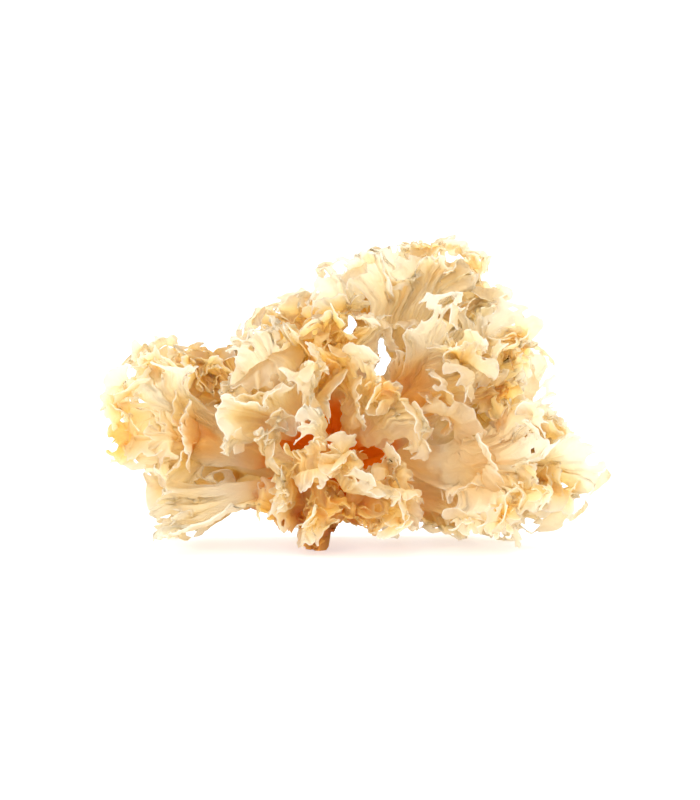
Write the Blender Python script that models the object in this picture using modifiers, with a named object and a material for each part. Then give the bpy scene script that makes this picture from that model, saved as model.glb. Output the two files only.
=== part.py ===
"""Dried snow fungus: a knobbly base and the main fronds that fork from it.

The growth is one tuft. Every frond is a thin ruffled sheet that fans out from the growth centre,
so it is modelled as a grid that is bent over a sphere's arc, waved across and given a thickness.
Sizes below are in millimetres, x runs right, y runs away from the viewer and z runs up. The origin
is on the surface that the growth stands on, under the middle of its outer size.
"""

import math

import bmesh
import bpy
import numpy as np

MM = 0.001

# Driving dimensions
GROWTH_CENTRE = (-5.0, 0.0, 18.0)
STAND_AT = (-0.43, -5.05)
SHEET_THICKNESS = 0.7
ROOT_GAP = 0.6
ROOT_FAN_SHARE = 0.45
RUFFLE_EVERY = 25.0
WAVE_SKEW = 1.2
DRIFT = 1.3
BASE_RADIUS = 7.0
BASE_LUMP = 0.45
FOOT_AT = (-8.0, -7.0, 0.0)
FOOT_SPREAD = 18.0
FOOT_CUT_OFF = 5.0
FLOOR_BLOCK = 160.0
GRID_ACROSS = 12
GRID_ALONG = 4

# The head's outline from the front, along x and z: its crown, and its underside, arched between the feet.
# A frond ends where it would leave the outline.
CROWN = (
    (-55, 35), (-51, 46), (-44, 45), (-34, 43), (-25, 45), (-21, 52), (-15, 56), (-8, 60), (-2, 64), (7, 65.5),
    (15, 68), (22, 69), (29, 65), (36, 59), (40, 49), (50, 31), (56.4, 16),
)
UNDERSIDE = (
    (-55, 28), (-49, 15), (-48, -1.5), (-39, -1.5), (-26, 11), (-21, 11), (-19, 7), (-12, 2), (-10, -1.5),
    (-7, -1.5), (-6, 8), (-3, 11), (2, 5), (7, 1.5), (14, 7), (29, 5), (30, -1.5), (37, -1.5), (39, 5), (50, 7),
    (54, 10), (56, 13),
)
ENDS = (-55.3, 55.6)
EYE_RISE = 0.052
EYE_AT = -4.4
FULL_REACH = 1.1
LEAST_REACH = 0.45
EVENED_OVER = 0.15

FROND_COLOUR = (0.93, 0.78, 0.53)
BASE_COLOUR = (0.66, 0.30, 0.09)

# tip: middle of the margin. faces: the way the sheet looks. spread: half its fan, in degrees.
# ruffle: height of the waves at the margin, in degrees. curl: how far the margin bends over, in degrees.
FRONDS = {
    "left_foot": dict(tip=(-46, 0, 4), faces=(0.1, -1, 0.4), spread=14, ruffle=4, curl=-4, phase=0.4),
    "left_wing": dict(tip=(-53, -9, 30), faces=(0, -1, 0.1), spread=17, ruffle=6, curl=5, phase=1.2),
    "left_back_wing": dict(tip=(-49, 13, 43), faces=(0.2, -1, 0), spread=18, ruffle=6, curl=-5, phase=2.6),
    "left_crest": dict(tip=(-23, -8, 50), faces=(-0.3, -1, 0.3), spread=20, ruffle=6, curl=7, phase=0.2),
    "top_left": dict(tip=(-10, 9, 58), faces=(-0.2, -1, 0), spread=17, ruffle=6, curl=6, phase=1.0),
    "top_sheet": dict(tip=(14, -6, 62), faces=(0.1, -1, 0), spread=11, ruffle=4, curl=-5, phase=2.2),
    "peak": dict(tip=(22, 10, 62), faces=(-0.2, -1, 0), spread=12, ruffle=5, curl=6, phase=3.0),
    "right_shoulder": dict(tip=(36, -4, 49), faces=(0.2, -1, 0.1), spread=12, ruffle=5, curl=6, phase=0.7),
    "right_crest": dict(tip=(25, -20, 45), faces=(0.2, -1, 0.2), spread=16, ruffle=6, curl=-6, phase=1.9),
    "right_wing": dict(tip=(44, 13, 33), faces=(0.3, -1, 0.1), spread=14, ruffle=5, curl=4, phase=0.1),
    "right_tip": dict(tip=(52, 2, 12), faces=(0.2, -1, 0.2), spread=14, ruffle=5, curl=-5, phase=2.0),
    "right_front": dict(tip=(39, -23, 22), faces=(0.3, -1, 0.3), spread=15, ruffle=6, curl=5, phase=1.4),
    "right_skirt": dict(tip=(37, -7, 4), faces=(0.2, -0.9, -0.4), spread=12, ruffle=5, curl=4, phase=2.9),
    "front_skirt": dict(tip=(12, -22, 8), faces=(0.2, -1, -0.4), spread=21, ruffle=6, curl=6, phase=0.9),
    "front_fan": dict(tip=(-21, -21, 38), faces=(-0.1, -1, 0), spread=25, ruffle=6, curl=9, phase=1.7),
    "centre_ruffle": dict(tip=(7, -27, 37), faces=(0.2, -1, 0.4), spread=19, ruffle=7, curl=-8, phase=0.3),
    "front_curl": dict(tip=(-1, -30, 17), faces=(0.6, -0.4, 1), spread=22, ruffle=7, curl=8, phase=2.3),
    "front_foot": dict(tip=(-19, -16, 8), faces=(-0.2, -1, -0.4), spread=22, ruffle=6, curl=6, phase=1.1),
    "back_left": dict(tip=(-39, 28, 25), faces=(0.6, 1, 0.3), spread=21, ruffle=6, curl=6, phase=0.5),
    "back_crown": dict(tip=(-20, 29, 46), faces=(-0.2, 1, -0.3), spread=20, ruffle=6, curl=-6, phase=1.6),
    "back_top": dict(tip=(15, 30, 52), faces=(0.2, 1, -0.2), spread=19, ruffle=6, curl=6, phase=2.7),
    "back_right": dict(tip=(40, 30, 31), faces=(-0.6, 1, 0.2), spread=18, ruffle=6, curl=6, phase=0.8),
    "back_middle": dict(tip=(0, 39, 26), faces=(1, 0.3, 0.5), spread=18, ruffle=6, curl=6, phase=1.3),
    "back_left_skirt": dict(tip=(-37, 24, 3), faces=(0.1, 0.5, 1), spread=13, ruffle=5, curl=-4, phase=2.1),
    "back_right_skirt": dict(tip=(33, 29, 6), faces=(-0.1, 0.5, 1), spread=15, ruffle=5, curl=-4, phase=0.6),
    "left_shoulder": dict(tip=(-37, 1, 44), faces=(0.3, -1, 0), spread=10, ruffle=5, curl=4, phase=1.7),
    "top_back": dict(tip=(1, 21, 61), faces=(-0.1, -1, 0), spread=10, ruffle=5, curl=3, phase=0.6),
    "left_front": dict(tip=(-41, -17, 8), faces=(-0.4, -1, 0.3), spread=14, ruffle=3, curl=3, phase=2.4),
    "front_left_frill": dict(tip=(-18, -24, 22), faces=(1, -0.4, 0.5), spread=16, ruffle=6, curl=5, phase=0.2),
    "front_frill_left": dict(tip=(-11, -20, 10), faces=(1, -0.3, -0.3), spread=15, ruffle=6, curl=5, phase=1.5),
    "front_frill_right": dict(tip=(-1, -19, 8), faces=(1, -0.2, 0.3), spread=14, ruffle=6, curl=5, phase=2.7),
    "front_crest": dict(tip=(-7, -30, 36), faces=(1, -0.1, 0.3), spread=13, ruffle=5, curl=4, phase=0.9),
    "top_front": dict(tip=(-3, -13, 50), faces=(-0.1, -1, 0), spread=12, ruffle=5, curl=5, phase=1.9),
    "back_left_crest": dict(tip=(-22, 35, 33), faces=(1, 0.5, -0.4), spread=15, ruffle=5, curl=4, phase=0.3),
    "back_right_crest": dict(tip=(17, 35, 32), faces=(1, -0.3, 0.4), spread=13, ruffle=5, curl=4, phase=1.4),
    "back_left_low": dict(tip=(-16, 39, 17), faces=(-0.2, 0.2, 1), spread=14, ruffle=5, curl=4, phase=2.5),
    "back_foot": dict(tip=(-9, 35, 0), faces=(1, 0.2, 0), spread=14, ruffle=5, curl=3, phase=0.7),
    "back_right_low": dict(tip=(18, 37, 13), faces=(-0.3, 0.2, 1), spread=12, ruffle=5, curl=4, phase=1.8),
}


def unit(vector):
    vector = np.asarray(vector, float)
    return vector / np.linalg.norm(vector, axis=-1, keepdims=True)


def drift(points):
    """The slow wander of the whole growth. Every frond shares it, so it brings no two of them together."""
    x, y, z = np.moveaxis(points, -1, 0)
    moved = np.stack(
        [
            np.sin(0.13 * z + 0.6) + np.sin(0.11 * y + 1.9),
            np.sin(0.12 * x + 0.3) + np.sin(0.14 * z + 2.4),
            np.sin(0.12 * y + 1.1) + np.sin(0.10 * x + 0.8),
        ],
        axis=-1,
    )
    from_centre = np.linalg.norm(points - np.array(GROWTH_CENTRE), axis=-1, keepdims=True)
    return points + DRIFT * moved * np.clip(from_centre / 30.0 - 0.2, 0.0, 1.0)


def inside_outline(points):
    """Whether points lie in the head's outline as it is seen from the front, a little from above."""
    x, y, z = np.moveaxis(points + np.array([*STAND_AT, 0.0]), -1, 0)
    seen = z + (y - EYE_AT) * EYE_RISE
    low, high = np.interp(x, *zip(*UNDERSIDE)), np.interp(x, *zip(*CROWN))
    return (seen > low) & (seen < high) & (x > ENDS[0]) & (x < ENDS[1])


def frond_length(frond):
    return np.linalg.norm(np.array(frond["tip"], float) - np.array(GROWTH_CENTRE))


def frond_directions(frond, across, along):
    """The ways from the growth centre to points of a frond's middle sheet."""
    outward = unit(np.array(frond["tip"], float) - np.array(GROWTH_CENTRE))
    facing = unit(np.array(frond["faces"], float) - np.dot(frond["faces"], outward) * outward)
    side = np.cross(facing, outward)
    phase = frond["phase"]

    fan = np.radians(frond["spread"]) * across * (ROOT_FAN_SHARE + (1.0 - ROOT_FAN_SHARE) * along)
    ruffles = 2.0 * frond["spread"] / RUFFLE_EVERY
    turn = math.pi * ruffles * across + WAVE_SKEW * math.cos(3.0 * phase) * along
    wave = np.sin(turn + phase) + 0.22 * np.sin(1.8 * turn + 1.7 * phase)
    wave = wave + 0.35 * np.sin(5.5 * along + 2.0 * across + 4.0 * phase)
    lift = np.radians(frond["ruffle"]) * wave * along**1.4 + np.radians(frond["curl"]) * (along**2 - 0.35)
    return (
        outward * (np.cos(fan) * np.cos(lift))[..., None]
        + side * (np.sin(fan) * np.cos(lift))[..., None]
        + facing * np.sin(lift)[..., None]
    )


def frond_margin(frond, across):
    """How far a frond reaches at each place across it: its own length, or less where the outline ends it."""
    centre = np.array(GROWTH_CENTRE)
    stations = np.linspace(-1.0, 1.0, 41)
    phase = frond["phase"]
    lobes = 0.04 * np.sin(5.2 * stations + 2.0 * phase) + 0.03 * np.sin(9.5 * stations + 5.0 * phase)
    margin = frond_length(frond) * FULL_REACH * (1.0 - 0.15 * stations**4 + lobes)
    ways = frond_directions(frond, stations, np.ones_like(stations))
    tries = np.linspace(LEAST_REACH, 1.0, 56)[:, None] * margin
    fits = inside_outline(drift(centre + ways[None] * tries[..., None]))
    margin = np.where(fits, tries, LEAST_REACH * margin).max(axis=0)
    near = np.exp(-(((stations[:, None] - stations[None]) / EVENED_OVER) ** 2))
    return np.interp(across, stations, near @ margin / near.sum(axis=1))


def frond_surface(frond, across, along):
    """Points of a frond's middle sheet, seen from the growth centre.

    across runs -1 to 1 from side to side, along runs 0 to 1 from root to margin.
    """
    centre = np.array(GROWTH_CENTRE)
    root = BASE_RADIUS + BASE_LUMP + ROOT_GAP
    radius = root + (frond_margin(frond, across) - root) * along
    return drift(centre + frond_directions(frond, across, along) * radius[..., None]) - centre


def make_collection(name):
    collection = bpy.data.collections.new(name)
    bpy.context.scene.collection.children.link(collection)
    return collection


def make_material(name, colour, roughness):
    material = bpy.data.materials.new(name)
    material.use_nodes = True
    shader = material.node_tree.nodes["Principled BSDF"]
    shader.inputs["Base Color"].default_value = (*colour, 1.0)
    shader.inputs["Roughness"].default_value = roughness
    shader.inputs["Metallic"].default_value = 0.0
    return material


def add_object(name, shape, collection, material=None, parent=None):
    mesh = bpy.data.meshes.new(name)
    shape.to_mesh(mesh)
    shape.free()
    if material:
        mesh.materials.append(material)
    mesh.shade_smooth()
    piece = bpy.data.objects.new(name, mesh)
    piece.parent = parent
    collection.objects.link(piece)
    return piece


def make_growth_centre(collection):
    """The point that every frond fans out from. The base and the fronds are placed by it."""
    centre = bpy.data.objects.new("growth_centre", None)
    centre.location = (np.array(GROWTH_CENTRE) + np.array([*STAND_AT, 0.0])) * MM
    centre.empty_display_size = BASE_RADIUS * MM
    collection.objects.link(centre)
    return centre


def make_floor_cutter(collection):
    """A block under the floor: what would pass through the floor is cut flat and rests on the cut."""
    shape = bmesh.new()
    bmesh.ops.create_cube(shape, size=FLOOR_BLOCK * MM)
    bmesh.ops.translate(shape, verts=shape.verts, vec=(0.0, 0.0, -FLOOR_BLOCK * MM / 2))
    block = add_object("floor_cutter", shape, collection)
    block.hide_render = True
    block.display_type = "WIRE"
    return block


def cut_at_floor(piece, cutter):
    cut = piece.modifiers.new("cut_at_floor", "BOOLEAN")
    cut.operation = "DIFFERENCE"
    cut.object = cutter


def make_frond(name, frond, collection, centre):
    shape = bmesh.new()
    bmesh.ops.create_grid(shape, x_segments=GRID_ACROSS, y_segments=GRID_ALONG, size=1.0)
    placed = np.array([vertex.co for vertex in shape.verts])
    across = placed[:, 0]
    along = ((placed[:, 1] + 1.0) / 2.0) ** 0.8
    for vertex, point in zip(shape.verts, frond_surface(frond, across, along)):
        vertex.co = point * MM
    cream = make_material(f"{name}_cream", FROND_COLOUR, 0.55)
    piece = add_object(name, shape, collection, cream, centre)
    wall = piece.modifiers.new("thickness", "SOLIDIFY")
    wall.thickness = SHEET_THICKNESS * MM
    wall.offset = 0.0
    return piece


def make_base(collection, centre):
    """A lump round the growth centre, drawn down to a foot that is cut flat where it left its log."""
    shape = bmesh.new()
    bmesh.ops.create_uvsphere(shape, u_segments=14, v_segments=12, radius=1.0)
    foot = np.array(FOOT_AT) - np.array(GROWTH_CENTRE)
    foot_length = np.linalg.norm(foot) + FOOT_CUT_OFF
    foot_way = unit(foot)
    for vertex in shape.verts:
        way = unit(vertex.co)
        lumps = math.sin(4.1 * way[0] + 1.0) * math.sin(4.7 * way[1] + 2.0)
        lumps += math.sin(5.3 * way[2] + 3.5 * way[0])
        radius = BASE_RADIUS + BASE_LUMP * lumps / 2.0
        off_foot = math.degrees(math.acos(np.clip(np.dot(way, foot_way), -1.0, 1.0)))
        reach = math.exp(-((off_foot / FOOT_SPREAD) ** 2))
        vertex.co = way * (radius + (foot_length - radius) * reach) * MM
    return add_object("base", shape, collection, make_material("base_amber", BASE_COLOUR, 0.6), centre)


def main():
    for left_over in list(bpy.data.objects):
        bpy.data.objects.remove(left_over)
    fungus = make_collection("dried_snow_fungus")
    cutters = make_collection("cutters")
    floor = make_floor_cutter(cutters)
    centre = make_growth_centre(fungus)
    cut_at_floor(make_base(fungus, centre), floor)
    for name, frond in FRONDS.items():
        cut_at_floor(make_frond(name, frond, fungus, centre), floor)


main()
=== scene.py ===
import math
import time

import bmesh
import bpy
import numpy as np
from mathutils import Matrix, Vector, noise
from mathutils.kdtree import KDTree


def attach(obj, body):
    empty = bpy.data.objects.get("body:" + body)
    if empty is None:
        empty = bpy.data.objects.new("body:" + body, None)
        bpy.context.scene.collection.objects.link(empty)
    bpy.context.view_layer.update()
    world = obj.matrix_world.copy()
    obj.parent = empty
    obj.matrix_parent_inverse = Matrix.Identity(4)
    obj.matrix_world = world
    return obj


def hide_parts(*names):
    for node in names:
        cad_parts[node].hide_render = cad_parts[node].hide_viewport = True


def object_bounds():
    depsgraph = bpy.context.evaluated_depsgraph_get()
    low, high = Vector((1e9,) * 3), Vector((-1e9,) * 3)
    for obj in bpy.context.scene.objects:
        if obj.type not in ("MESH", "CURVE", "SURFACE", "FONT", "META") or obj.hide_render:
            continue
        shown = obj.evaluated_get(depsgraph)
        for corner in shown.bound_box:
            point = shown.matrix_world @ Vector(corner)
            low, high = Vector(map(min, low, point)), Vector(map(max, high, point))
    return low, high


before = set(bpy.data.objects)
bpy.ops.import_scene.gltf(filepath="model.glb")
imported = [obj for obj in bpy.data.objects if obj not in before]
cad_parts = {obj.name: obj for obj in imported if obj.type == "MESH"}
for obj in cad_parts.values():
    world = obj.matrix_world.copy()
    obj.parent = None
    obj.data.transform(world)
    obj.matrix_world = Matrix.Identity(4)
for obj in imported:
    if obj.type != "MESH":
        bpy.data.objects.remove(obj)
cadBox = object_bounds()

started = time.time()
mm = 0.001


def report(words):
    print(f"[{time.time() - started:6.1f} s] {words}", flush=True)


# The tuft: where its fronds fork from and how they spread, in millimetres and degrees
tuft = {
    "centre": (-5.43, -5.05, 18.0),
    "rootRadius": 6.2,
    "rootFanShare": 0.45,
    "ruffleEvery": 25.0,
    "skew": 1.2,
    "drift": 1.3,
    "driftAbout": (0.43, 5.05, 0.0),
    "reach": 1.20,
    "foot": (-8.43, -12.05, 0.0),
    "seed": 11,
}

# Each main frond: the middle of its margin, the way it looks, half its fan, wave height, curl and phase
mainFronds = {
    "left_foot": ((-46, 0, 4), (0.1, -1, 0.4), 14, 4, -4, 0.4),
    "left_wing": ((-53, -9, 30), (0, -1, 0.1), 17, 6, 5, 1.2),
    "left_back_wing": ((-49, 13, 43), (0.2, -1, 0), 18, 6, -5, 2.6),
    "left_crest": ((-23, -8, 50), (-0.3, -1, 0.3), 20, 6, 7, 0.2),
    "top_left": ((-10, 9, 58), (-0.2, -1, 0), 17, 6, 6, 1.0),
    "top_sheet": ((14, -6, 62), (0.1, -1, 0), 11, 4, -5, 2.2),
    "peak": ((22, 10, 62), (-0.2, -1, 0), 12, 5, 6, 3.0),
    "right_shoulder": ((36, -4, 49), (0.2, -1, 0.1), 12, 5, 6, 0.7),
    "right_crest": ((25, -20, 45), (0.2, -1, 0.2), 16, 6, -6, 1.9),
    "right_wing": ((44, 13, 33), (0.3, -1, 0.1), 14, 5, 4, 0.1),
    "right_tip": ((52, 2, 12), (0.2, -1, 0.2), 14, 5, -5, 2.0),
    "right_front": ((39, -23, 22), (0.3, -1, 0.3), 15, 6, 5, 1.4),
    "right_skirt": ((37, -7, 4), (0.2, -0.9, -0.4), 12, 5, 4, 2.9),
    "front_skirt": ((12, -22, 8), (0.2, -1, -0.4), 21, 6, 6, 0.9),
    "front_fan": ((-21, -21, 38), (-0.1, -1, 0), 25, 6, 9, 1.7),
    "centre_ruffle": ((7, -27, 37), (0.2, -1, 0.4), 19, 7, -8, 0.3),
    "front_curl": ((-1, -30, 17), (0.6, -0.4, 1), 22, 7, 8, 2.3),
    "front_foot": ((-19, -16, 8), (-0.2, -1, -0.4), 22, 6, 6, 1.1),
    "back_left": ((-39, 28, 25), (0.6, 1, 0.3), 21, 6, 6, 0.5),
    "back_crown": ((-20, 29, 46), (-0.2, 1, -0.3), 20, 6, -6, 1.6),
    "back_top": ((15, 30, 52), (0.2, 1, -0.2), 19, 6, 6, 2.7),
    "back_right": ((40, 30, 31), (-0.6, 1, 0.2), 18, 6, 6, 0.8),
    "back_middle": ((0, 39, 26), (1, 0.3, 0.5), 18, 6, 6, 1.3),
    "back_left_skirt": ((-37, 24, 3), (0.1, 0.5, 1), 13, 5, -4, 2.1),
    "back_right_skirt": ((33, 29, 6), (-0.1, 0.5, 1), 15, 5, -4, 0.6),
    "left_shoulder": ((-37, 1, 44), (0.3, -1, 0), 10, 5, 4, 1.7),
    "top_back": ((1, 21, 61), (-0.1, -1, 0), 10, 5, 3, 0.6),
    "left_front": ((-41, -17, 8), (-0.4, -1, 0.3), 14, 3, 3, 2.4),
    "front_left_frill": ((-18, -24, 22), (1, -0.4, 0.5), 16, 6, 5, 0.2),
    "front_frill_left": ((-11, -20, 10), (1, -0.3, -0.3), 15, 6, 5, 1.5),
    "front_frill_right": ((-1, -19, 8), (1, -0.2, 0.3), 14, 6, 5, 2.7),
    "front_crest": ((-7, -30, 36), (1, -0.1, 0.3), 13, 5, 4, 0.9),
    "top_front": ((-3, -13, 50), (-0.1, -1, 0), 12, 5, 5, 1.9),
    "back_left_crest": ((-22, 35, 33), (1, 0.5, -0.4), 15, 5, 4, 0.3),
    "back_right_crest": ((17, 35, 32), (1, -0.3, 0.4), 13, 5, 4, 1.4),
    "back_left_low": ((-16, 39, 17), (-0.2, 0.2, 1), 14, 5, 4, 2.5),
    "back_foot": ((-9, 35, 0), (1, 0.2, 0), 14, 5, 3, 0.7),
    "back_right_low": ((18, 37, 13), (-0.3, 0.2, 1), 12, 5, 4, 1.8),
}
frondNames = list(mainFronds)


def unit(vectors):
    vectors = np.asarray(vectors, float)
    return vectors / np.maximum(np.linalg.norm(vectors, axis=-1, keepdims=True), 1e-9)


def drift(points):
    x, y, z = np.moveaxis(points + np.array(tuft["driftAbout"]), -1, 0)
    moved = np.stack([
        np.sin(0.13 * z + 0.6) + np.sin(0.11 * y + 1.9),
        np.sin(0.12 * x + 0.3) + np.sin(0.14 * z + 2.4),
        np.sin(0.12 * y + 1.1) + np.sin(0.10 * x + 0.8),
    ], axis=-1)
    away = np.linalg.norm(points - np.array(tuft["centre"]), axis=-1, keepdims=True)
    return points + tuft["drift"] * moved * np.clip(away / 30.0 - 0.2, 0.0, 1.0)


# The head's outline from the front, along x and z: its crown, and its arched underside between the feet
outline = {
    "crown": [
        (-61, 40), (-55, 38), (-52, 43), (-50.5, 50), (-49, 54), (-47.5, 49), (-45.5, 44), (-42, 43.5),
        (-40.2, 47.5), (-38.4, 42.5), (-34, 43.5), (-31, 46), (-29, 43.5), (-25, 46.5), (-21, 52), (-15, 56),
        (-8, 60), (-2, 64), (7, 65.5), (15, 67.5), (19, 69.5), (24, 68.5), (29, 65.5), (36, 60), (40, 49),
        (50, 31), (55, 22), (61, 22),
    ],
    "underside": [
        (-61, 18), (-55, 20), (-51, 15), (-50, 0.3), (-39, 0.3), (-26, 11), (-21, 11), (-19, 7), (-12, 2),
        (-10, 0.3), (-7.5, 0.3), (-6, 8), (-3, 11), (2, 5), (7, 1.5), (14, 7), (29, 5), (30, 0.3), (37, 0.3),
        (39, 5), (50, 7), (54, 8), (61, 8),
    ],
    # Where daylight shows through: the middle and the half sizes of each slot
    "slots": [((5.3, 42.3), (1.4, 4.6)), ((-1.7, 49.3), (1.2, 2.7))],
    "eyeRise": 0.052,  # how much higher a place looks for each mm that it lies further back
    "eyeAt": -4.4,
    "slack": 2.3,  # how far margins may start above the crown, as they draw in while they grow
    "halfWidth": 54.8,
    "shortest": 0.45,  # the least that a frond keeps of its length, where the outline would end it sooner
    "tries": 34,
    "evenOver": 0.13,
}


def outlineLimits(points):
    raised = (points[..., 1] - outline["eyeAt"]) * outline["eyeRise"]
    lowest = np.interp(points[..., 0], *zip(*outline["underside"])) - raised
    highest = np.interp(points[..., 0], *zip(*outline["crown"])) - raised
    return lowest, highest


def inSlot(points, slot):
    (slotX, slotZ), (wide, high) = slot
    raised = (points[..., 1] - outline["eyeAt"]) * outline["eyeRise"]
    across, up = (points[..., 0] - slotX) / wide, (points[..., 2] + raised - slotZ) / high
    across = across * (1.3 + 0.8 * np.clip(up, -1, 1))
    across = across + 0.45 * np.sin(4.0 * up + slotX) + 0.2 * np.sin(9.0 * up)
    return 1.0 - np.sqrt(across**2 + up**2), np.where(across < 0, -1.0, 1.0)


def keepInOutline(points, pull):
    lowest, highest = outlineLimits(points)
    z = points[..., 2]
    z += pull * (np.minimum(highest - z, 0.0) + np.maximum(lowest - z, 0.0))
    for slot in outline["slots"]:
        within, side = inSlot(points, slot)
        points[..., 0] += pull * np.maximum(within, 0.0) * slot[1][0] * side


def insideOutline(points):
    lowest, highest = outlineLimits(points)
    inHeight = (points[..., 2] > lowest) & (points[..., 2] < highest + outline["slack"])
    return inHeight & (abs(points[..., 0]) < outline["halfWidth"])


# How a margin runs: slow lobes, clefts that part it into tongues, and fine teeth, each fading inwards.
# A coarse net carries only the slow ones.
def notchMargin(across, along, random, lobe, cleft, teeth):
    columns = across.shape[0]
    lobes = clefts = tooth = 0.0
    for waves, height in ((1.1, 1.0), (2.3, 0.8), (4.6, 0.5), (9.0, 0.3)):
        wave = np.sin(waves * random.uniform(0.8, 1.2) * math.pi * across + random.uniform(0, 6.3))
        lobes = lobes + (lobe * height * wave if columns > 3.6 * waves else 0.0)
    for _ in range(5):
        at, width, depth = random.uniform(-0.9, 0.9), random.uniform(0.05, 0.13), random.uniform(0.3, 1.0)
        if columns > 5.0 / width:
            clefts = clefts + cleft * depth * np.exp(-(((across - at) / width) ** 2))
    if columns > 50:
        turn = 15.0 * math.pi * across + random.uniform(0, 6.3) + 3.0 * np.sin(7.0 * across)
        tooth = teeth * np.sin(turn)
    if columns > 130:
        tooth = tooth + teeth * random.normal(0.0, 0.35, (columns, 1))
    return 1.0 + lobes * along**2 - np.minimum(clefts, 0.45) * along**3 + tooth * along**12


# How far a sheet reaches in each direction before the head's outline ends it, evened out between them
def frondMargin(name, across, direction, length):
    phase = mainFronds[name][5]
    lobes = 0.04 * np.sin(5.2 * across + 2.0 * phase) + 0.03 * np.sin(9.5 * across + 5.0 * phase)
    margin = length * tuft["reach"] * (1.0 - 0.15 * across**4 + lobes)
    tries = np.linspace(outline["shortest"], 1.0, outline["tries"])[:, None] * margin
    fits = insideOutline(drift(np.array(tuft["centre"]) + direction[None] * tries[..., None]))
    margin = np.where(fits, tries, outline["shortest"] * margin).max(axis=0)
    near = np.exp(-(((across[:, None] - across[None]) / outline["evenOver"]) ** 2))
    return near @ margin / near.sum(axis=1)


def frondGuide(name, across, along, seed):
    tip, faces, spread, ruffle, curl, phase = mainFronds[name]
    centre = np.array(tuft["centre"])
    reach = np.array(tip, float) - centre - np.array(tuft["driftAbout"])
    length = np.linalg.norm(reach)
    outward = unit(reach)
    facing = unit(np.array(faces, float) - np.dot(faces, outward) * outward)
    side = np.cross(facing, outward)
    fan = np.radians(spread) * across * (tuft["rootFanShare"] + (1.0 - tuft["rootFanShare"]) * along)
    turn = math.pi * 2.0 * spread / tuft["ruffleEvery"] * across
    turn = turn + tuft["skew"] * math.cos(3.0 * phase) * along
    wave = np.sin(turn + phase) + 0.22 * np.sin(1.8 * turn + 1.7 * phase)
    wave = wave + 0.35 * np.sin(5.5 * along + 2.0 * across + 4.0 * phase)
    lift = np.radians(ruffle) * wave * along**1.4 + np.radians(curl) * (along**2 - 0.35)
    direction = (
        outward * (np.cos(fan) * np.cos(lift))[..., None]
        + side * (np.sin(fan) * np.cos(lift))[..., None]
        + facing * np.sin(lift)[..., None]
    )
    margin = frondMargin(name, across[:, -1], direction[:, -1], length)
    radius = tuft["rootRadius"] + (margin[:, None] - tuft["rootRadius"]) * along
    radius = radius * notchMargin(across, along, np.random.default_rng(seed), 0.06, 0.25, 0.022)
    return drift(centre + direction * radius[..., None])


# Growth: each sheet's margin grows longer than its root allows, so it buckles into ruffles.
# Each level is a finer net, on which a narrower strip along the margin grows.
grow = {
    "levels": [
        {"across": 18, "along": 6, "extra": 0.10, "power": 2.0, "rounds": 100, "stiff": 0.25, "rough": 1.0},
        {"across": 35, "along": 11, "extra": 0.36, "power": 3.0, "rounds": 90, "stiff": 0.28, "rough": 0.3},
        {"across": 69, "along": 21, "extra": 0.12, "power": 5.0, "rounds": 60, "stiff": 0.36, "rough": 0.05},
        {"across": 137, "along": 41, "extra": 0.0, "power": 14.0, "rounds": 12, "stiff": 0.4, "rough": 0.0},
    ],
    "frillLevels": [
        {"across": 11, "along": 4, "extra": 0.25, "power": 1.5, "rounds": 60, "stiff": 0.25, "rough": 0.5},
        {"across": 21, "along": 7, "extra": 0.25, "power": 3.0, "rounds": 50, "stiff": 0.28, "rough": 0.1},
        {"across": 41, "along": 13, "extra": 0.0, "power": 6.0, "rounds": 12, "stiff": 0.30, "rough": 0.0},
    ],
    "laceLevels": [
        {"across": 11, "along": 4, "extra": 0.35, "power": 1.5, "rounds": 50, "stiff": 0.20, "rough": 0.3},
        {"across": 21, "along": 7, "extra": 0.0, "power": 3.0, "rounds": 12, "stiff": 0.25, "rough": 0.0},
    ],
    # How much of this a frond does, where it isn't 1
    "calm": {
        "left_foot": 0.6, "left_front": 0.3, "top_sheet": 0.5, "front_fan": 0.3, "right_skirt": 0.6,
        "left_wing": 1.3, "right_front": 1.35, "right_wing": 1.2, "right_tip": 1.2, "right_shoulder": 1.2,
        "right_crest": 1.2,
    },
    "uneven": 0.06,
    "follow": 0.20,
    "followMargin": 0.004,
    "outlinePull": 0.12,
    "apartCell": 3.2,
    "apartPush": 0.6,
    "boxSlack": ((-1.6, -4.0, 0.3), (1.6, 4.0, 2.5)),  # how far past the solids' box the sheets may lie
}


# Every second edge of the nets is drawn towards its length at rest, so that no two of them share a point
def pullEdges(points, rest, axis, parity, weight):
    count = points.shape[axis]
    low = [slice(None)] * 4
    high = [slice(None)] * 4
    low[axis] = slice(parity, count - 1, 2)
    high[axis] = slice(parity + 1, count, 2)
    first, second = points[tuple(low)], points[tuple(high)]
    gap = second - first
    length = np.sqrt(np.einsum("...i,...i->...", gap, gap)) + 1e-9
    shift = gap * (0.5 * weight * (1.0 - rest[tuple(low[:3])] / length))[..., None]
    first += shift
    second -= shift


def pullDiagonals(points, rest, parity, weight):
    columns = points.shape[1]
    low, high = slice(parity, columns - 1, 2), slice(parity + 1, columns, 2)
    for firstRows, secondRows in ((slice(None, -1), slice(1, None)), (slice(1, None), slice(None, -1))):
        first, second = points[:, low, firstRows], points[:, high, secondRows]
        gap = second - first
        length = np.sqrt(np.einsum("...i,...i->...", gap, gap)) + 1e-9
        shift = gap * (0.5 * weight * (1.0 - rest[:, low] / length))[..., None]
        first += shift
        second -= shift


# Points move towards the middle of their neighbours, first over the whole nets, then along their free sides
def smoothFolds(points, stiffness):
    lines = (points, points.swapaxes(1, 2), points[:, 0], points[:, -1], points[:, :, -1])
    for line in lines:
        line[:, 1:-1] += stiffness * (0.5 * (line[:, :-2] + line[:, 2:]) - line[:, 1:-1])


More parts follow.
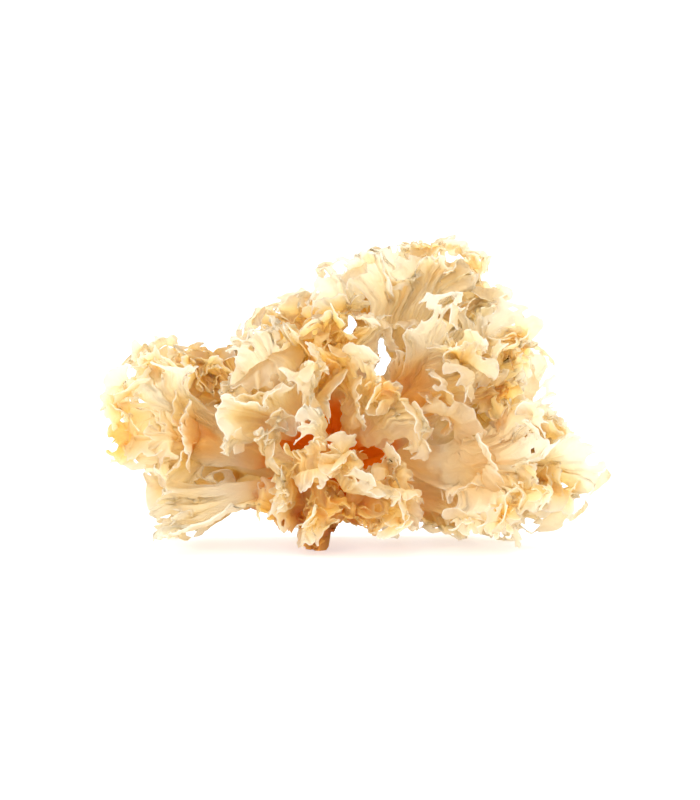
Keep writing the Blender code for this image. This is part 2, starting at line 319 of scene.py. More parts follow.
# The space that holds the head, in millimetres: how far before the origin it starts each way, and its size
space = {"corner": (72.0, 60.0, 12.0), "size": (144.0, 120.0, 96.0)}

# Cells for keeping sheets apart: how far before the origin they start each way, in millimetres, and how many
apart = {"corner": (90.0, 80.0, 30.0), "cells": (70, 60, 45)}


# Sheets push each other apart: every point moves off the middle of what others have in its cell
def keepApart(points, obstacles, random, cell, push):
    sheets = points.shape[0]
    flat = points.reshape(-1, 3)
    owner = np.repeat(np.arange(sheets), flat.shape[0] // sheets)
    every = flat if obstacles is None else np.concatenate([flat, obstacles])
    offset = random.uniform(0, cell, 3) + np.array(apart["corner"])
    place = np.clip(((every + offset) / cell).astype(int), 0, np.array(apart["cells"]) - 1)
    key = np.ravel_multi_index(place.T, apart["cells"])
    count = math.prod(apart["cells"])
    total = np.bincount(key, minlength=count).astype(float)
    sums = [np.bincount(key, weights=every[:, k], minlength=count) for k in range(3)]
    mine = key[: flat.shape[0]]
    _, inverse = np.unique(mine * sheets + owner, return_inverse=True)
    ownTotal = np.bincount(inverse).astype(float)[inverse]
    others = total[mine] - ownTotal
    met = others > 0.5
    own = [np.bincount(inverse, weights=flat[:, k])[inverse] for k in range(3)]
    middle = np.stack([(sums[k][mine] - own[k]) / np.maximum(others, 1.0) for k in range(3)], axis=1)
    away = flat - middle
    distance = np.linalg.norm(away, axis=1) + 1e-6
    strength = push * np.clip(1.2 - distance / cell, 0.0, 1.0) * met
    shift = (away / distance[:, None] * strength[:, None]).reshape(points.shape)
    for _ in range(max(2, points.shape[1] // 12)):
        shift[:, 1:-1] = 0.25 * (shift[:, :-2] + shift[:, 2:]) + 0.5 * shift[:, 1:-1]
        shift[:, :, 1:-1] = 0.25 * (shift[:, :, :-2] + shift[:, :, 2:]) + 0.5 * shift[:, :, 1:-1]
    points += shift


def midpoints(points, axis):
    line = np.moveaxis(points, axis, 0)
    before = np.concatenate([2 * line[:1] - line[1:2], line[:-2]])
    after = np.concatenate([line[2:], 2 * line[-1:] - line[-2:-1]])
    return np.moveaxis((9 * (line[:-1] + line[1:]) - before - after) / 16, 0, axis)


# A net of twice the steps, with its new points on smooth curves through the old ones
def refine(points, columns, rows):
    wider = np.empty((points.shape[0], columns, points.shape[2], 3))
    wider[:, ::2], wider[:, 1::2] = points, midpoints(points, 1)
    finer = np.empty((points.shape[0], columns, rows, 3))
    finer[:, :, ::2], finer[:, :, 1::2] = wider, midpoints(wider, 2)
    return finer


def sheetNormals(points):
    sideways = np.gradient(points, axis=1)
    outward = np.gradient(points, axis=2)
    return unit(np.cross(sideways, outward))


# Slow waves in any direction over a sheet, different on each one
def unevenness(across, along, sheets, random):
    field = 0.0
    for waves in (2.0, 3.5, 5.0, 8.0):
        sideways, outward = random.normal(0, waves, (2, sheets, 1, 1))
        field = field + np.sin(sideways * across + outward * along + random.uniform(0, 6.3, (sheets, 1, 1)))
    return field / 2.0


# Ruffles along a margin: the sheet meanders to and fro across itself, and each finer set rides on the last
ruffles = {
    "main": [
        {"wave": 6.0, "height": 0.15, "from": 0.35, "power": 1.8},
        {"wave": 2.6, "height": 0.14, "from": 0.75, "power": 1.3},
    ],
    "frill": [{"wave": 3.2, "height": 0.16, "from": 0.3, "power": 1.4}],
    "lace": [{"wave": 2.0, "height": 0.12, "from": 0.3, "power": 1.1}],
}


def ruffleMargin(sheets, along, ruffle, random):
    count = len(sheets)
    margin = np.linalg.norm(np.diff(sheets[:, :, -1], axis=1), axis=-1)
    travel = np.concatenate([np.zeros((count, 1)), np.cumsum(margin, axis=1)], axis=1) / ruffle["wave"]
    phase = 2.0 * math.pi * travel
    calm = 0.75
    for share in (0.31, 0.17, 0.09):
        turn = 2.0 * math.pi * share * travel + random.uniform(0, 6.3, (count, 1))
        phase = phase + 1.1 * np.sin(turn)
        calm = calm + 0.28 * np.sin(1.3 * turn + random.uniform(0, 6.3, (count, 1)))
    phase = phase[..., None] + random.normal(0, 1.2, (count, 1, 1)) * along
    strength = np.clip((along - ruffle["from"]) / (1.0 - ruffle["from"]), 0.0, 1.0) ** ruffle["power"]
    size = ruffle["wave"] * ruffle["height"] * strength * np.clip(calm, 0.15, 1.3)[..., None]
    forward = unit(np.gradient(sheets, axis=1))
    return (
        sheets + sheetNormals(sheets) * (size * np.sin(phase))[..., None]
        + forward * (0.25 * size * strength * np.sin(2.0 * phase + math.pi))[..., None]
    )


# Dried sheets crumple together: these creases run through all of them at the same places, and are lower
# on a calm frond
creases = [
    {"wave": 14.0, "height": 1.2, "soft": 0.06},
    {"wave": 7.0, "height": 0.5, "soft": 0.03},
    {"wave": 3.5, "height": 0.25, "soft": 0.01},
]


def crumple(points):
    away = np.linalg.norm(points - np.array(tuft["centre"]), axis=-1, keepdims=True)
    share = np.clip(away / 12.0 - 0.6, 0.0, 1.0)
    for crease in creases:
        turn = math.pi * points / crease["wave"]
        bent = turn + 0.8 * np.sin(0.7 * turn[..., [1, 2, 0]] + crease["wave"])
        bent = bent + 0.6 * np.sin(0.9 * turn[..., [2, 0, 1]])
        fold = 1.0 - 2.0 * np.sqrt(np.sin(bent[..., [2, 0, 1]]) ** 2 + crease["soft"])
        points = points + crease["height"] * share * fold
    return points


# guideAt(across, along) gives every sheet's ungrown form, as sheets x columns x rows x 3
def growSheets(guideAt, levels, ruffleSet, random, obstacles=None, extra=None, cell=None):
    unevenSeed = random.integers(1 << 30)
    lowest, highest = (np.array(box) / mm + np.array(slack) for box, slack in zip(cadBox, grow["boxSlack"]))
    points = guide = None
    for level in levels:
        columns, rows = level["across"], level["along"]
        steps = np.linspace(-1, 1, columns), np.linspace(0, 1, rows) ** 0.85
        across, along = np.meshgrid(*steps, indexing="ij")
        before, guide = guide, guideAt(across, along)
        sheets = guide.shape[0]
        more = np.ones(sheets) if extra is None else extra
        uneven = np.random.default_rng(unevenSeed)
        wide, tall = (
            1.0 + grow["uneven"] * unevenness(across, along, sheets, uneven) * along for _ in range(2)
        )
        grown = levels[: levels.index(level) + 1]
        extraWide = more[:, None, None] * sum(step["extra"] * along[None] ** step["power"] for step in grown)
        wide = wide + extraWide * (1.0 + 0.4 * unevenness(across, along, sheets, uneven))
        sideways = np.linalg.norm(np.diff(guide, axis=1), axis=-1) * 0.5 * (wide[:, :-1] + wide[:, 1:])
        outward = np.linalg.norm(np.diff(guide, axis=2), axis=-1) * 0.5 * (tall[:, :, :-1] + tall[:, :, 1:])
        middleWide = 0.5 * (sideways[:, :, :-1] + sideways[:, :, 1:])
        middleTall = 0.5 * (outward[:, :-1] + outward[:, 1:])
        diagonal = np.sqrt(middleWide**2 + middleTall**2)
        points = guide.copy() if points is None else guide + refine(points - before, columns, rows)
        bumps = random.normal(0.0, 1.0, points.shape[:3]) * level["rough"] * along[None] ** 0.8
        points += sheetNormals(points) * bumps[..., None]
        follow = (grow["follow"] * (1.0 - along) ** 2 + grow["followMargin"])[None, :, :, None]
        for turn in range(level["rounds"]):
            smoothFolds(points, level["stiff"])
            for parity in (0, 1):
                pullEdges(points, sideways, 1, parity, 0.9)
                pullEdges(points, outward, 2, parity, 0.9)
                pullDiagonals(points, diagonal, parity, 0.35)
            points += (guide - points) * follow
            points[:, :, 0] = guide[:, :, 0]
            if turn % 3 == 1:
                keepInOutline(points, grow["outlinePull"])
            if turn % 6 == 3:
                keepApart(points, obstacles, random, cell or grow["apartCell"], grow["apartPush"])
                np.clip(points, lowest, highest, out=points)
    share = np.minimum(more, 1.0)[:, None, None, None] if obstacles is None else along[None, :, :, None]
    points += (crumple(points) - points) * share
    for ruffle in ruffleSet:
        points = ruffleMargin(points, along[None], ruffle, random)
    np.clip(points, lowest, highest, out=points)
    report(f"grew {sheets} sheets of {columns} x {rows}")
    return points


def guideFronds(across, along):
    return np.stack([frondGuide(name, across, along, 100 + i) for i, name in enumerate(frondNames)])


random = np.random.default_rng(tuft["seed"])
calmness = np.array([grow["calm"].get(name, 1.0) for name in frondNames])
mains = growSheets(guideFronds, grow["levels"], ruffles["main"], random, extra=calmness)

# Frills: small sheets that stand up from the main fronds, on both faces. Lace: tiny ones along their
# margins. Fewer stand on the sheets that show a broad face in front.
frills = {
    "frill": {
        "count": 230, "length": (6.0, 14.0), "width": (3.0, 7.0), "fan": (15, 40), "lean": (25, 70),
        "from": (0.3, 0.8), "apart": 2.6,
    },
    "lace": {
        "count": 560, "length": (2.5, 6.0), "width": (1.4, 3.0), "fan": (20, 60), "lean": (-35, 60),
        "from": (0.86, 0.98), "apart": 2.0,
    },
    "shares": {
        "front_fan": 0.03, "top_sheet": 0.3, "right_front": 0.7, "left_foot": 0.4, "right_skirt": 0.4,
        "left_front": 0.08, "left_wing": 1.6, "left_back_wing": 1.8, "left_shoulder": 0.8,
        "front_left_frill": 0.1, "left_crest": 0.1, "front_crest": 0.4, "front_foot": 0.6,
        "back_left_skirt": 0.5, "front_skirt": 0.6, "right_crest": 0.6, "front_frill_left": 0.6,
        "centre_ruffle": 0.8,
    },
    "rimFrom": 0.3,  # the rim value at a frill's root, 0 at a main frond's root and 1 at every margin
    "rootNear": 0.9,  # a frill stays if its frond still has a point this near, in mm
}


def placeFrills(kind, random):
    placed = []
    sizes = np.array([np.linalg.norm(np.diff(sheet[:, -1], axis=0), axis=1).sum() for sheet in mains])
    sizes *= [frills["shares"].get(name, 1.0) for name in frondNames]
    owners = random.choice(len(mains), size=kind["count"], p=sizes / sizes.sum())
    normals = sheetNormals(mains)
    columns, rows = mains.shape[1:3]
    for owner in owners:
        column = int(random.uniform(0.06, 0.94) * (columns - 1))
        row = int(random.uniform(*kind["from"]) * (rows - 1))
        normal = normals[owner, column, row] * random.choice((-1.0, 1.0))
        outward = unit(mains[owner, column, min(row + 4, rows - 1)] - mains[owner, column, max(row - 4, 0)])
        lean = math.radians(random.uniform(*kind["lean"]))
        steps = np.linalg.norm(np.diff(mains[owner, :, row], axis=0), axis=1)
        travel = np.concatenate([[0.0], np.cumsum(steps)])
        placed.append({
            "owner": frondNames[owner], "travel": travel - travel[column], "line": mains[owner, :, row],
            "way": unit(outward * math.cos(lean) + normal * math.sin(lean) + random.normal(0, 0.15, 3)),
            "half": random.uniform(*kind["width"]), "length": random.uniform(*kind["length"]),
            "fan": math.radians(random.uniform(*kind["fan"])), "seed": int(random.integers(1, 1 << 30)),
        })
    return placed


# Frills that hang round the foot, where the base was cut from its log, out and down from its stem.
# Clear: how far their tips stay above the floor.
footFrills = {
    "heights": (3.0, 12.0), "count": 34, "stem": 2.2, "length": (6.0, 11.0), "width": (2.0, 4.0),
    "fan": (0, 20), "out": 0.35, "down": 0.94, "clear": 0.6,
}


def placeFootFrills(random):
    placed = []
    centre, foot = np.array(tuft["centre"]), np.array(tuft["foot"])
    out, down = footFrills["out"], footFrills["down"]
    for i in range(footFrills["count"]):
        height = random.uniform(*footFrills["heights"])
        turn = 2.4 * i + random.normal(0, 0.2)
        turns = turn + np.linspace(-1.6, 1.6, 25)
        stem = foot + (centre - foot) * height / centre[2]
        ring = np.stack([np.cos(turns), np.sin(turns), 0.15 * np.sin(3 * turns)], axis=-1)
        length = min(random.uniform(*footFrills["length"]), (height - footFrills["clear"]) / down)
        placed.append({
            "owner": "base", "travel": footFrills["stem"] * (turns - turn),
            "line": stem + footFrills["stem"] * ring,
            "way": unit((math.cos(turn) * out, math.sin(turn) * out, -down)),
            "half": random.uniform(*footFrills["width"]), "length": length,
            "fan": math.radians(random.uniform(*footFrills["fan"])),
            "seed": int(random.integers(1, 1 << 30)),
        })
    return placed


def frillGuide(frill, across, along):
    reachAlong = frill["half"] * across[:, 0]
    root = np.stack([np.interp(reachAlong, frill["travel"], line) for line in frill["line"].T], axis=-1)
    sideways = unit(root[-1] - root[0])
    way = unit(frill["way"] - np.dot(frill["way"], sideways) * sideways)
    length = frill["length"] * (1.0 - 0.35 * across**4)
    length = length * notchMargin(across, along, np.random.default_rng(frill["seed"]), 0.15, 0.3, 0.05)
    fan = frill["fan"] * across * along**0.5
    bend = 0.5 * along * np.sin(frill["seed"] % 7)
    facing = np.cross(sideways, way)
    direction = (way * np.cos(bend)[..., None] + facing * np.sin(bend)[..., None]) * np.cos(fan)[..., None]
    direction = direction + sideways * np.sin(fan)[..., None]
    return root[:, None] + direction * (length * along)[..., None]


def growFrills(placed, levels, ruffleSet, obstacles, cell):
    def guideAt(across, along):
        return np.stack([frillGuide(frill, across, along) for frill in placed])
    sheets = growSheets(guideAt, levels, ruffleSet, random, obstacles, cell=cell)
    return [(frill["owner"], sheet) for frill, sheet in zip(placed, sheets)]


mainPoints = mains[:, ::3, ::2].reshape(-1, 3)
placed = placeFrills(frills["frill"], random) + placeFootFrills(random)
frillSheets = growFrills(placed, grow["frillLevels"], ruffles["frill"], mainPoints, frills["frill"]["apart"])
placed = placeFrills(frills["lace"], random)
laceSheets = growFrills(placed, grow["laceLevels"], ruffles["lace"], mainPoints, frills["lace"]["apart"])


# How deep every point lies among the sheets, and how tightly they crumple round it, both from 0 to 1:
# the area of sheet in each cell, blurred. Cells are in millimetres, full is a percentile of that area.
# The fronds' shader paints shade from these: amber where points lie deep among the sheets or crumple tightly
crowd = {
    "deep": {"cell": 2.0, "blur": 4, "few": 0.12, "many": 0.74, "full": 93},
    "tight": {"cell": 1.0, "blur": 1, "few": 0.45, "many": 1.0, "full": 97},
    "tightBuries": 0.35,
}


def sheetAreas(sheet):
    return np.linalg.norm(np.cross(np.gradient(sheet, axis=0), np.gradient(sheet, axis=1)), axis=-1).ravel()


def makeCrowding(kind):
    sheets = list(mains) + [sheet for _, sheet in frillSheets + laceSheets]
    places = np.concatenate([sheet.reshape(-1, 3) for sheet in sheets])
    areas = np.concatenate([sheetAreas(sheet) for sheet in sheets])
    size = tuple(int(extent / kind["cell"]) for extent in space["size"])
    cells = tuple(((places + space["corner"]) / kind["cell"]).astype(int).T)
    field = np.zeros(size)
    np.add.at(field, cells, areas)
    for _ in range(kind["blur"]):
        for axis in range(3):
            field = 0.25 * (np.roll(field, 1, axis) + np.roll(field, -1, axis)) + 0.5 * field
    return np.minimum(field / np.percentile(field[cells], kind["full"]), 1.0)


def crowdedness(points, kind, field):
    at = np.clip((points + space["corner"]) / kind["cell"] - 0.5, 0.0, np.array(field.shape) - 1.001)
    low = at.astype(int)
    part = at - low
    total = 0.0
    for corner in np.ndindex(2, 2, 2):
        weight = np.prod(np.where(corner, part, 1.0 - part), axis=-1)
        total = total + weight * field[tuple(np.moveaxis(low + corner, -1, 0))]
    return np.clip((total - kind["few"]) / (kind["many"] - kind["few"]), 0.0, 1.0)


deepField, tightField = makeCrowding(crowd["deep"]), makeCrowding(crowd["tight"])


# One flat net for all sheets of a kind, with each of its points' column and row
def gridMesh(columns, rows):
    shape = bmesh.new()
    bmesh.ops.create_grid(shape, x_segments=columns - 1, y_segments=rows - 1, size=1.0)
    mesh = bpy.data.meshes.new("grid")
    shape.to_mesh(mesh)
    shape.free()
    flat = np.empty(len(mesh.vertices) * 3)
    mesh.vertices.foreach_get("co", flat)
    places = flat.reshape(-1, 3)
    column = np.rint((places[:, 0] + 1) / 2 * (columns - 1)).astype(int)
    row = np.rint((places[:, 1] + 1) / 2 * (rows - 1)).astype(int)
    for name in ("rim", "buried", "tight"):
        mesh.attributes.new(name, "FLOAT", "POINT")
    mesh.attributes.new("grain", "FLOAT_VECTOR", "POINT")
    return mesh, column, row


def addSheet(shape, grid, sheet, rimFrom):
    mesh, column, row = grid
    lastColumn, lastRow = sheet.shape[0] - 1.0, sheet.shape[1] - 1.0
    mesh.vertices.foreach_set("co", (sheet[column, row] * mm).ravel())
    mesh.attributes["rim"].data.foreach_set("value", rimFrom + (1.0 - rimFrom) * row / lastRow)
    tight = crowdedness(sheet, crowd["tight"], tightField)
    deep = crowdedness(sheet, crowd["deep"], deepField)
    # buried: how much painted shade a point gets, from its depth and its tight crumpling
    buried = 1.0 - (1.0 - deep) * (1.0 - crowd["tightBuries"] * tight)
    mesh.attributes["buried"].data.foreach_set("value", buried[column, row])
    mesh.attributes["tight"].data.foreach_set("value", tight[column, row])
    wide = np.linalg.norm(np.diff(sheet[:, -1], axis=0), axis=1).sum()
    tall = np.linalg.norm(np.diff(sheet[len(sheet) // 2], axis=0), axis=1).sum()
    each = np.full(len(row), sheet[0, 0, 0])
    grain = np.stack([wide * column / lastColumn, tall * row / lastRow, each], axis=-1)
    mesh.attributes["grain"].data.foreach_set("vector", grain.ravel())
    shape.from_mesh(mesh)


# A dried margin is lace: clefts part it, and it breaks into teeth, most where it is tightly crumpled.
# Sizes are in millimetres. Gentle: the fronds whose margins tear less deeply. Held below: the rim value
# that a sheet's root reaches up to. Thread faces: how far along a thread a sheet still holds.
tears = {
    "teethFrom": 0.66, "teeth": 0.98, "toothSize": 0.9, "notchSize": 2.2, "crumpled": 1.1,
    "cleftFrom": 0.58, "cleftSize": 6.0, "cleftFray": 1.6, "clefts": 0.74, "cleftReach": 0.5,
    "gentle": {
        "right_tip": 0.4, "peak": 0.5, "top_sheet": 0.6, "left_foot": 0.6, "right_wing": 0.7,
        "right_skirt": 0.7,
    },
    "heldBelow": 0.305, "threadFaces": 3, "smoothRounds": 4, "smoothShare": 0.4,
}


# Scraps that the tears part from their sheet's root, or that hang on it by a thread, fall off
def dropLoose(shape, rim):
    front = [face for face in shape.faces if any(vertex[rim] < tears["heldBelow"] for vertex in face.verts)]
    held = set(front)
    while front:
        for edge in front.pop().edges:
            if not all(vertex.is_boundary for vertex in edge.verts):
                for face in edge.link_faces:
                    if face not in held:
                        held.add(face)
                        front.append(face)
    for _ in range(tears["threadFaces"]):
        held |= {face for inner in held for edge in inner.edges for face in edge.link_faces}
    bmesh.ops.delete(shape, geom=[face for face in shape.faces if face not in held], context="FACES")


def tearMargin(shape, wildness):
    rim = shape.verts.layers.float["rim"]
    tight = shape.verts.layers.float["tight"]
    teethFrom, cleftFrom = (1.0 - (1.0 - tears[key]) * wildness for key in ("teethFrom", "cleftFrom"))
    torn = []
    for face in shape.faces:
        out = sum(vertex[rim] for vertex in face.verts) / 4.0
        edge = (out - teethFrom) / (1.0 - teethFrom)
        inner = (out - cleftFrom) / (1.0 - cleftFrom)
        if inner > 0.0:
            middle = face.calc_center_median() / mm
            cleft = noise.noise(middle / tears["cleftSize"] + Vector((31.0, 7.0, 13.0)))
            cleft = cleft + 0.35 * noise.noise(middle / tears["cleftFray"])
            if cleft > tears["clefts"] - tears["cleftReach"] * inner:
                torn.append(face)
            elif edge > 0.0:
                tooth = middle / tears["toothSize"]
                fine = noise.noise(tooth) + noise.noise(tooth / 1.4)
                notch = noise.noise(middle / tears["notchSize"] + Vector((3.0, 17.0, 23.0)))
                crumpled = sum(vertex[tight] for vertex in face.verts) / 4.0
                bite = 0.4 * fine + 1.1 * notch + tears["crumpled"] * crumpled
                if bite > tears["teeth"] * (1.05 - edge):
                    torn.append(face)
    bmesh.ops.delete(shape, geom=torn, context="FACES")
    dropLoose(shape, rim)
    for _ in range(tears["smoothRounds"]):
        ragged = [vertex for vertex in shape.verts if vertex.is_boundary]
        bmesh.ops.smooth_vert(
            shape, verts=ragged, factor=tears["smoothShare"],
            use_axis_x=True, use_axis_y=True, use_axis_z=True,
        )
    for vertex in shape.verts:
        vertex[rim] = 1.0 if vertex.is_boundary and vertex[rim] > 0.35 else 0.9 * vertex[rim]


# The sheets part where daylight shows through the head
def openSlots(shape):
    shape.faces.ensure_lookup_table()
    middles = np.array([face.calc_center_median() for face in shape.faces]) / mm
    torn = np.zeros(len(middles), bool)
    for slot in outline["slots"]:
        torn |= inSlot(middles, slot)[0] > 0.0
    bmesh.ops.delete(shape, geom=[shape.faces[i] for i in np.nonzero(torn)[0]], context="FACES")


def finishPiece(name, shape, material, slot, *nodes):
    mesh = bpy.data.meshes.new(name)
    shape.to_mesh(mesh)
    shape.free()
    mesh.shade_smooth()
    mesh.materials.append(material)
    piece = bpy.data.objects.new(name, mesh)
    bpy.context.scene.collection.objects.link(piece)
    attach(piece, "root")
    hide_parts(*nodes)
    return piece


# Shader maths on sockets
class Wire:
    def __init__(self, tree, socket):
        self.tree, self.socket = tree, socket

    def math(self, operation, *others):
        node = self.tree.nodes.new("ShaderNodeMath")
        node.operation = operation
        for i, value in enumerate(others):
            if isinstance(value, Wire):
                self.tree.links.new(value.socket, node.inputs[i])
            else:
                node.inputs[i].default_value = value
        return Wire(self.tree, node.outputs[0])

    def __add__(self, other):
        return self.math("ADD", self, other)

    def __sub__(self, other):
        return self.math("SUBTRACT", self, other)

    def __rsub__(self, other):
        return self.math("SUBTRACT", other, self)

    def __mul__(self, other):
        return self.math("MULTIPLY", self, other)

    __radd__ = __add__
    __rmul__ = __mul__

    def between(self, low, high):
        node = self.tree.nodes.new("ShaderNodeMapRange")
        node.interpolation_type = "SMOOTHSTEP"
        self.tree.links.new(self.socket, node.inputs["Value"])
        node.inputs["From Min"].default_value = low
        node.inputs["From Max"].default_value = high
        return Wire(self.tree, node.outputs["Result"])


class Look:
    def __init__(self, name):
        self.material = bpy.data.materials.new(name)
        self.material.use_nodes = True
        self.tree = self.material.node_tree
        self.tree.nodes.clear()

    def node(self, kind, settings=None, output=0, **values):
        made = self.tree.nodes.new("ShaderNode" + kind)
        for key, value in (settings or {}).items():
            setattr(made, key, value)
        for key, value in values.items():
            named = [s for s in made.inputs if s.name.replace(" ", "").replace("-", "") == key and s.enabled]
            socket = named[0]
            if isinstance(value, Wire):
                self.tree.links.new(value.socket, socket)
            else:
                socket.default_value = value
        return Wire(self.tree, made.outputs[output])

    def mix(self, share, first, second):
        made = self.tree.nodes.new("ShaderNodeMix")
        made.data_type = "RGBA"
        for socket, value in ((made.inputs[0], share), (made.inputs[6], first), (made.inputs[7], second)):
            if isinstance(value, Wire):
                self.tree.links.new(value.socket, socket)
            else:
                socket.default_value = value if isinstance(value, float) else (*value, 1.0)
        return Wire(self.tree, made.outputs[2])


frondLook = {
    # Rim: a painted highlight, the colour that the bright thin margins turn to
    "rim": (0.985, 0.95, 0.885),
    "body": (0.99, 0.93, 0.80),
    # Amber: painted shade, the warm colour that the sheets take deep among others and in tight crumples
    "amber": (0.995, 0.84, 0.45),
    # The four colours below are painted shade and glow for the hollows listed after them
    "rust": (0.95, 0.36, 0.02),
    "gold": (0.96, 0.66, 0.22),
    "brown": (0.84, 0.55, 0.24),
    "hollow": (0.50, 0.12, 0.01),
    # Painted shade and glow in hollows, warmer and darker: the middle of each, where it starts to fade and
    # where it ends in mm, share and colour
    "pockets": [
        ((13, -13, 33), 5, 13, 0.8, "gold"),
        ((-34, -14, 25), 3, 8, 0.6, "gold"),
        ((-21, -14, 22), 3, 9, 0.5, "gold"),
        ((10, -14, 15), 4, 11, 0.5, "gold"),
        ((-12, -14, 7), 5, 14, 0.8, "brown"),
        ((28, -22, 20), 5, 16, 0.3, "gold"),
        ((-5.4, -5, 18), 15, 27, 0.45, "gold"),
        ((-5.4, -5, 18), 12, 18, 1.0, "rust"),
        ((-15, -16, 14.5), 2, 6, 0.9, "rust"),
        ((-9, -16, 9.5), 1.5, 4.5, 0.9, "hollow"),
    ],
    "glow": (1.0, 0.985, 0.94),  # light that comes through an outer sheet is this much warmer
    # Deep glow: the light through a sheet is tinted warmer where painted shade lies. Tight share: how much
    # tight crumples add to that painted shade
    "deepGlow": (1.0, 0.935, 0.74),
    "tightShare": 0.55,
    "paler": 0.45,  # how much less painted shade colours the outer fronds than the inner ones
    "outer": (24.0, 46.0),  # where that starts and ends, in mm from the centre
    "through": 0.93,
    "rough": 0.45,
    "shine": 0.35,
    "grain": (0.6, 0.09, 1.0),  # ridges per mm across the sheet and outward along it
    "blotches": 130.0,  # these three are patterns per metre
    "fibres": 900.0,
    "wrinkles": 330.0,
    "bump": 0.0007,  # metres
}
# The base and the frills round its foot: browner, partly their own colour and partly painted shade low under
# the head
baseLook = {
    **frondLook,
    "rim": (0.95, 0.85, 0.62),
    "body": (0.94, 0.78, 0.48),
    "amber": (0.92, 0.68, 0.34),
    "rust": (0.92, 0.60, 0.24),
    "hollow": (0.88, 0.54, 0.20),
}


def makeFrondMaterial(name, look):
    made = Look(name)
    place = made.node("TexCoord", output=3)

    def awayFrom(point):
        away = made.node("VectorMath", {"operation": "DISTANCE"}, output=1, Vector=place)
        away.socket.node.inputs[1].default_value = tuple(c * mm for c in point)
        return away * 1000.0

    rim = made.node("Attribute", {"attribute_name": "rim"}, output=2)
    buried = made.node("Attribute", {"attribute_name": "buried"}, output=2)
    tight = made.node("Attribute", {"attribute_name": "tight"}, output=2)
    blotches = made.node("TexNoise", Vector=place, Scale=look["blotches"], Detail=3.0)
    fibres = made.node("TexNoise", Vector=place, Scale=look["fibres"], Detail=4.0)
    wrinkles = made.node("TexNoise", Vector=place, Scale=look["wrinkles"], Detail=3.0, Distortion=1.5)
    grain = made.node("Attribute", {"attribute_name": "grain"}, output=1)
    grain = made.node("VectorMath", {"operation": "MULTIPLY"}, Vector=grain)
    grain.socket.node.inputs[1].default_value = look["grain"]
    ridges = made.node("TexNoise", Vector=grain, Scale=1.0, Detail=3.0, Distortion=0.4)
    streaks = (blotches - 0.5) * 0.6 + (ridges - 0.5) * 0.25
    # Painted shade: sheets turn amber where they lie deep among others or crumple tightly, less so on the
    # outer fronds, with blotches and ridges as mottling
    outerLit = awayFrom(tuft["centre"]).between(*look["outer"]) * look["paler"]
    shadeAndMottle = (buried * (1 - outerLit) + tight * look["tightShare"] + streaks).between(0.0, 1.0)
    colour = made.mix(shadeAndMottle, look["body"], look["amber"])
    # Painted highlight: the margins turn pale, less so where they crumple tightly or where painted shade
    # lies
    rimHighlight = rim.between(0.5, 0.9) * 0.4 + rim.between(0.88, 1.0) * 0.55
    rimHighlight = rimHighlight * (1 - tight * 0.7) * (1 - shadeAndMottle * 0.7)
    colour = made.mix(rimHighlight, colour, look["rim"])
    # Painted shade and glow in the listed hollows, a dark painted hole among them
    for at, near, far, share, kind in look["pockets"]:
        within = 1 - (awayFrom(at) + blotches * 8.0 - 4.0).between(near, far)
        colour = made.mix(within * share, colour, look[kind])
    roughness = look["rough"] + (fibres - 0.5) * 0.3
    relief = fibres * 0.2 + wrinkles * 1.0 + ridges * 0.5
    bump = made.node("Bump", Height=relief, Distance=look["bump"], Strength=0.5)
    surface = made.node("BsdfPrincipled", BaseColor=colour, Roughness=roughness, Normal=bump)
    surface.socket.node.inputs["Specular IOR Level"].default_value = look["shine"]
    # Where painted shade lies, the light through a sheet is tinted warmer
    warmth = made.mix(shadeAndMottle, look["glow"], look["deepGlow"])
    warmer = made.node("VectorMath", {"operation": "MULTIPLY"}, Vector=colour)
    made.tree.links.new(warmth.socket, warmer.socket.node.inputs[1])
    glow = made.node("BsdfTranslucent", Color=warmer, Normal=bump)
    both = made.tree.nodes.new("ShaderNodeMixShader")
    both.inputs[0].default_value = look["through"]
    made.tree.links.new(surface.socket, both.inputs[1])
    made.tree.links.new(glow.socket, both.inputs[2])
    out = made.tree.nodes.new("ShaderNodeOutputMaterial")
    made.tree.links.new(both.outputs[0], out.inputs[0])
    return made.material


frondMaterial = makeFrondMaterial("frond_skin", frondLook)
baseMaterial = makeFrondMaterial("base_skin", baseLook)

# The knob that the fronds fork from, with a folded stem that is cut flat at the floor
# Buried: the share of painted deep shade over the whole base
base = {
    "radius": 7.0, "lump": 0.45, "footSpread": 7.2, "cutOff": 5.0, "detail": 6,
    "folds": 7, "foldDepth": 0.2, "crumple": 1.5, "buried": 0.7,
}


def makeBase(material):
    shape = bmesh.new()
    bmesh.ops.create_icosphere(shape, subdivisions=base["detail"], radius=1.0)
    centre = np.array(tuft["centre"])
    foot = np.array(tuft["foot"]) - centre
    footLength = np.linalg.norm(foot) + base["cutOff"]
    footWay = unit(foot)
    for vertex in shape.verts:
        way = unit(vertex.co)
        lumps = math.sin(4.1 * way[0] + 1.0) * math.sin(4.7 * way[1] + 2.0)
        lumps = lumps + math.sin(5.3 * way[2] + 3.5 * way[0])
        radius = base["radius"] + base["lump"] * lumps / 2.0
        turn = math.atan2(way[1] - footWay[1], way[0] - footWay[0])
        folds = 1.0 + base["foldDepth"] * math.sin(base["folds"] * turn + 3.0 * way[2])
        offFoot = math.degrees(math.acos(np.clip(np.dot(way, footWay), -1.0, 1.0)))
        reach = math.exp(-((offFoot / (base["footSpread"] * folds)) ** 2))
        point = centre + way * (radius + (footLength - radius) * reach)
        point = point + way * base["crumple"] * noise.fractal(Vector(point) * 0.35, 0.8, 2.1, 5)
        point[2] = max(point[2], 0.0)
        vertex.co = point * mm
    # The whole base gets this much painted deep shade
    buried = shape.verts.layers.float.new("buried")
    for vertex in shape.verts:
        vertex[buried] = base["buried"]
    return finishPiece("base", shape, material, "base", "base")


makeBase(baseMaterial)
report("made the base")

